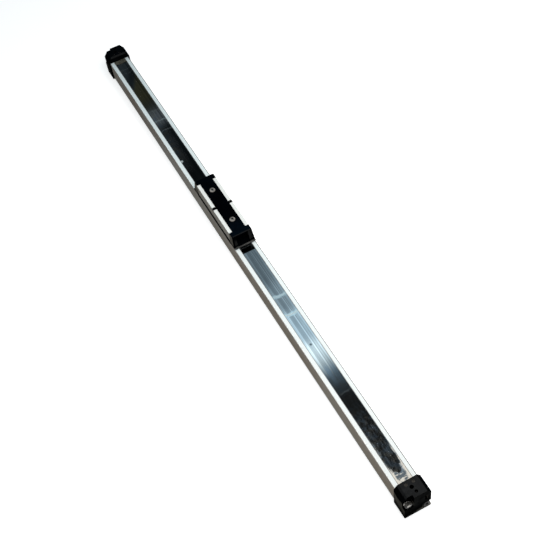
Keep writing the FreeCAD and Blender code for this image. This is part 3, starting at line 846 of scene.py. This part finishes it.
def make_cover_finish():
    """Black moulded plastic with a fine grain, rubbed edges, thin dust with a painted sheen, painted light on
    the hoods, and hood sides of dirt film and painted reflection.
    """
    material, tree, shader = new_finish("moulded_black")
    place = object_place(tree)
    along, across, level = axes_of(tree, place)
    forward, sideways, upward = facing_of(tree)
    forward = reckon(tree, "ABSOLUTE", forward)
    from_middle = offset_of(tree, along, cover_middle)
    at_hoods = eased(tree, from_middle, *hoods_from_middle)
    grain = patches(tree, place, 2200.0, detail=2.0)
    blotches = cloudy(tree, place, 70.0, (0.3, 0.7), detail=4.0)
    colour = over(tree, blotches, *cover_blacks)

    # Dust towards the hoods, tinted navy as a painted sheen, stronger at the near end.
    dust = use(tree, settled_dust, Cover=0.016, Clouds=130.0, Specks=1300.0, Lean=0.7)
    to_near = eased(tree, reckon(tree, "SUBTRACT", along, cover_middle), *dust_and_sheen_run)
    dust = times(tree, dust, eased(tree, from_middle, *dust_and_sheen_from_middle), eased(tree, level, *cover_top),
                 between(tree, to_near, 0.35, 1.0))
    colour = over(tree, dust, colour, cover_dust_and_sheen_colour)
    # Faces that slope up towards the ends get a faint painted highlight.
    brow_highlight = eased(tree, times(tree, forward, upward), 0.35, 0.47)
    colour = over(tree, brow_highlight, colour, hood_brow_highlight_colour, share=0.05)

    # A wall's distance from the middle, above 0 where it faces outwards and below 0 where it faces inwards.
    outward = times(tree, sideways, across)
    # The pockets' inner walls are painted lighter, as painted light.
    lit_inner_wall = times(tree, at_hoods, eased(tree, outward, *hood_inner_wall))
    colour = over(tree, lit_inner_wall, colour, hood_wall_light_colour, share=0.35)
    # The steps' forward faces get a little painted light too.
    aside = reckon(tree, "ABSOLUTE", across)
    low_at_left = largest(tree, eased(tree, level, *left_step_levels), eased(tree, across, *left_to_right))
    step = times(tree, eased(tree, aside, *step_inside), eased(tree, aside, *step_outside),
                 at_hoods, eased(tree, forward, 0.8, 0.9), low_at_left)
    colour = over(tree, step, colour, hood_wall_light_colour, share=0.08)
    # The hoods' sides: a film of dirt and a painted reflection, left black along their foot.
    outer_wall_film_and_reflection = times(tree, at_hoods, eased(tree, outward, *hood_outer_wall),
                       eased(tree, level, *hood_outer_foot), between(tree, blotches, 0.7, 1.0))
    colour = over(tree, outer_wall_film_and_reflection, colour, hood_film_and_reflection_colour)
    rubbed = use(tree, rubbed_edges, Width=0.6 * mm, Break_Up=500.0)
    colour = over(tree, rubbed, colour, cover_rubbed_colour, share=0.04)
    feed(tree, shader, Base_Color=colour, Roughness=between(tree, blotches, 0.42, 0.55),
         Specular_IOR_Level=0.0, Normal=relief(tree, grain, 0.03 * mm))
    return material


dress(make_cover_finish(), "carriage_cover")

# Wiper plates close the hoods at the foot, and slide strips carry the carriage on the barrel's top.
# Both are hard black plastic; the wipers' lips are rubbed grey where they sweep the band.
wiper_black, wiper_lip_grey = (0.032, 0.0325, 0.0325, 1), (0.13, 0.126, 0.12, 1)
slide_black, slide_edge_grey = (0.002, 0.002, 0.002, 1), (0.01, 0.0095, 0.009, 1)
lip_levels = span(1.2, 0.8, barrel_high.z)


def make_wiper_finish(name, colour, rubbed_colour, rubbed_share):
    """Hard black plastic, rubbed grey along its edges and its lower lip."""
    material, tree, shader = new_finish(name)
    place = object_place(tree)
    level, = axes_of(tree, place, "Z")
    clouds = cloudy(tree, place, 300.0, (0.3, 0.7), detail=4.0)
    edges = use(tree, rubbed_edges, Width=0.9 * mm, Break_Up=260.0)
    rubbed = times(tree, plus(tree, edges, clouds), rubbed_share)
    rubbed = largest(tree, rubbed, eased(tree, level, *lip_levels))
    feed(tree, shader, Base_Color=over(tree, rubbed, colour, rubbed_colour), Specular_IOR_Level=0.0,
         Roughness=between(tree, clouds, 0.45, 0.6), Normal=relief(tree, clouds, 0.04 * mm))
    return material


dress(make_wiper_finish("wiper_plastic", wiper_black, wiper_lip_grey, rubbed_share=0.5),
      "wiper_near", "wiper_far")
dress(make_wiper_finish("slide_plastic", slide_black, slide_edge_grey, rubbed_share=0.2),
      "slide_strip_left", "slide_strip_right")

# Two button-head screws hold the cover to the carriage body. They are plated steel, a little dulled,
# with a low dome and a hexagon socket.
cover_screw_nodes = ["cover_screw_near", "cover_screw_far"]
button_low, button_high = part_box(cover_screw_nodes[0])
button_radius = (button_high.y - button_low.y) / 2
button_height = 2.4 * mm
button_colour, button_dirt = (0.34, 0.325, 0.30, 1), (0.07, 0.064, 0.056, 1)
button_finish = make_screw_finish("plated_steel", button_colour, button_dirt, dirt_share=0.45)
# Their sockets take the near-black steel, as painted shade.
cover_screws = make_screws("cover_screws", upright_places(cover_screw_nodes, button_height), button_finish,
                           dark_hole_finish, Head_Radius=button_radius, Head_Height=button_height,
                           Crown_Radius=1.9 * mm, Brim_Height=0.5 * mm, Socket_Radius=1.45 * mm,
                           Socket_Depth=1.4 * mm, Shank_Radius=1.95 * mm,
                           Shank_Length=button_high.z - button_low.z - button_height)
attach(cover_screws, "carriage")
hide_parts(*cover_screw_nodes)

# The piston is turned aluminium, with fine rings left by the tool. It runs in the bore, where the
# barrel, the bands and the caps hide it.
turned_dark, turned_bright = (0.50, 0.50, 0.50, 1), (0.66, 0.66, 0.65, 1)
turned_finish, tree, shader = new_finish("turned_aluminium")
rings = patches(tree, object_place(tree), 3000.0, detail=2.0, stretch=(1, 0.01, 0.01))
feed(tree, shader, Base_Color=over(tree, rings, turned_dark, turned_bright), Metallic=1.0,
     Roughness=between(tree, rings, 0.3, 0.45), Normal=relief(tree, rings, 0.01 * mm))
dress(turned_finish, "piston")

# The stage: a pale floor that shows white and keeps the cylinder's soft shadow, with a grey bounce
# on to the object, and a white surround that lights the object less than it shows.
floor_half = 6.0
floor_colour, floor_bounce = (0.8, 0.8, 0.8, 1), (0.16, 0.145, 0.13, 1)
floor_glow = 0.62
surround_colour, surround_light = (1, 1, 1, 1), (0.27, 0.312, 0.336, 1)


def add_surface(name, left, right, front, back, height, material):
    """One level rectangle in the scene, which faces up where its front is before its back."""
    mesh = bpy.data.meshes.new(name)
    corners = [(left, front, height), (right, front, height), (right, back, height), (left, back, height)]
    mesh.from_pydata(corners, [], [(0, 1, 2, 3)])
    mesh.materials.append(material)
    return add_object(name, mesh)


def seen_of(tree):
    """1 for what the camera, a mirror or glass sees, and 0 for the light that falls on the object."""
    path = add_node(tree, "ShaderNodeLightPath").outputs
    return plus(tree, path["Is Camera Ray"], path["Is Glossy Ray"], path["Is Transmission Ray"])


floor_finish, tree, shader = new_finish("pale_floor")
seen = seen_of(tree)
feed(tree, shader, Base_Color=over(tree, seen, floor_bounce, floor_colour), Roughness=0.9,
     Specular_IOR_Level=0.0, Emission_Color=(1, 1, 1, 1), Emission_Strength=times(tree, seen, floor_glow))
floor = add_surface("floor", -floor_half, floor_half, -floor_half, floor_half, 0, floor_finish)

world = bpy.data.worlds.new("surround")
world.use_nodes = True
bpy.context.scene.world = world
sky = world.node_tree
join(sky, over(sky, seen_of(sky), surround_light, surround_colour), sky.nodes["Background"].inputs["Color"])

# Light: one soft lamp over the near end, and a long overhead card whose bright window is what the
# band mirrors. The card is seen only in reflections.
lamp_data = bpy.data.lights.new("key_lamp", "AREA")
lamp_data.shape = "RECTANGLE"
lamp_data.size, lamp_data.size_y = 0.8, 0.5
lamp_data.energy = 5.6
lamp_data.color = (1, 0.965, 0.925)
lamp = add_object("key_lamp", lamp_data)
lamp.location = (0.25, 0.15, 0.65)
lamp.visible_glossy = False

card_height, card_left, card_right, card_low, card_high = 1.03, -2.1, 0.35, -0.25, 0.75
window_blue, window_bright = (0.66, 0.88, 1.0, 1), (0.79, 0.95, 1.0, 1)
far_lamp_colour = (0.82, 0.925, 1.0, 1)
wall_colour = (1.0, 1.0, 0.60, 1)

# Each step of the window: where along the card it starts, where it is full, and the light that it adds.
window_steps = (-0.86, -0.78, 0.30), (-0.65, -0.59, 0.17), (-0.55, -0.505, 0.50), (-0.442, -0.402, 0.54)
window_stop = -0.305, -0.39
tail_stop, tail_start, tail_light = (-0.25, -0.30), (-0.40, -0.34), 0.04
room_run, room_light = (-1.05, -1.45), (0.008, 0.026)
far_lamp_stop, far_lamp_start, far_lamp_light = (-1.275, -1.32), (-1.39, -1.345), 0.10
wall_slant, wall_edge, wall_run = 2.4, (-0.912, -0.898), (-1.35, -1.42)
gap_start, gap_stop, gap_run = (-0.965, -0.94), (-0.905, -0.915), (-1.45, -1.5)


def make_card_finish():
    """A dark card, with a window whose light grows towards the near end and then stops."""
    material, tree, shader = new_finish("card_window")
    tree.nodes.remove(shader)
    place = object_place(tree)
    along, across = axes_of(tree, place, "XY")
    steps = [times(tree, eased(tree, along, start, full), light) for start, full, light in window_steps]
    window = times(tree, plus(tree, *steps), eased(tree, along, *window_stop))
    tail = times(tree, eased(tree, along, *tail_stop), eased(tree, along, *tail_start), tail_light)
    far_lamp = times(tree, eased(tree, along, *far_lamp_stop), eased(tree, along, *far_lamp_start))
    room = between(tree, eased(tree, along, *room_run), *room_light)
    room = plus(tree, room, times(tree, far_lamp, far_lamp_light))
    room = times(tree, room, between(tree, patches(tree, place, 9.0), 0.3, 1.7))

    # At the card's far end is a yellowish wall, with a darker gap beside it.
    slant = plus(tree, along, times(tree, across, wall_slant))
    wall = times(tree, eased(tree, slant, *wall_edge), eased(tree, along, *wall_run))
    gap = times(tree, eased(tree, slant, *gap_start), eased(tree, slant, *gap_stop),
                eased(tree, along, *gap_run))
    strength = times(tree, plus(tree, window, tail, room), between(tree, gap, 1.0, 0.5))
    brightest = eased(tree, along, *window_steps[-1][:2])
    colour = over(tree, brightest, window_blue, window_bright)
    colour = over(tree, far_lamp, colour, far_lamp_colour)
    colour = over(tree, wall, colour, wall_colour)
    light = put(tree, "ShaderNodeEmission", {"Color": colour, "Strength": strength})
    join(tree, light, tree.nodes["Material Output"].inputs["Surface"])
    return material


card_finish = make_card_finish()
card = add_surface("overhead_card", card_left, card_right, card_high, card_low, card_height, card_finish)
for kind in ("visible_camera", "visible_diffuse", "visible_shadow", "visible_transmission"):
    setattr(card, kind, False)

# Camera: a long lens above the near end, rolled a little, as in the photograph. The origin's place in
# the picture is in pixels from its upper left corner.
focal_pixels, image_pixels, sensor_width = 1033.78, 550.0, 36.0
azimuth, elevation, roll = (math.radians(degrees) for degrees in (69.91, 52.27, -9.72))
distance = 1.38683
origin_pixel = (241.0, 248.9)
back = Vector((math.sin(azimuth) * math.cos(elevation), -math.cos(azimuth) * math.cos(elevation),
               math.sin(elevation)))
level = Vector((math.cos(azimuth), math.sin(azimuth), 0))
upright = back.cross(level)
right = level * math.cos(roll) + upright * math.sin(roll)
up = upright * math.cos(roll) - level * math.sin(roll)
aside = (origin_pixel[0] - image_pixels / 2) / focal_pixels * distance
below = (origin_pixel[1] - image_pixels / 2) / focal_pixels * distance
eye = back * distance - right * aside + up * below
camera_data = bpy.data.cameras.new("camera")
camera_data.sensor_width = sensor_width
camera_data.lens = focal_pixels / image_pixels * sensor_width
camera = add_object("camera", camera_data)
turn = Matrix((right, up, back)).transposed().to_4x4()
camera.matrix_world = Matrix.Translation(eye) @ turn
bpy.context.scene.camera = camera
bpy.context.scene.view_settings.view_transform = "Standard"
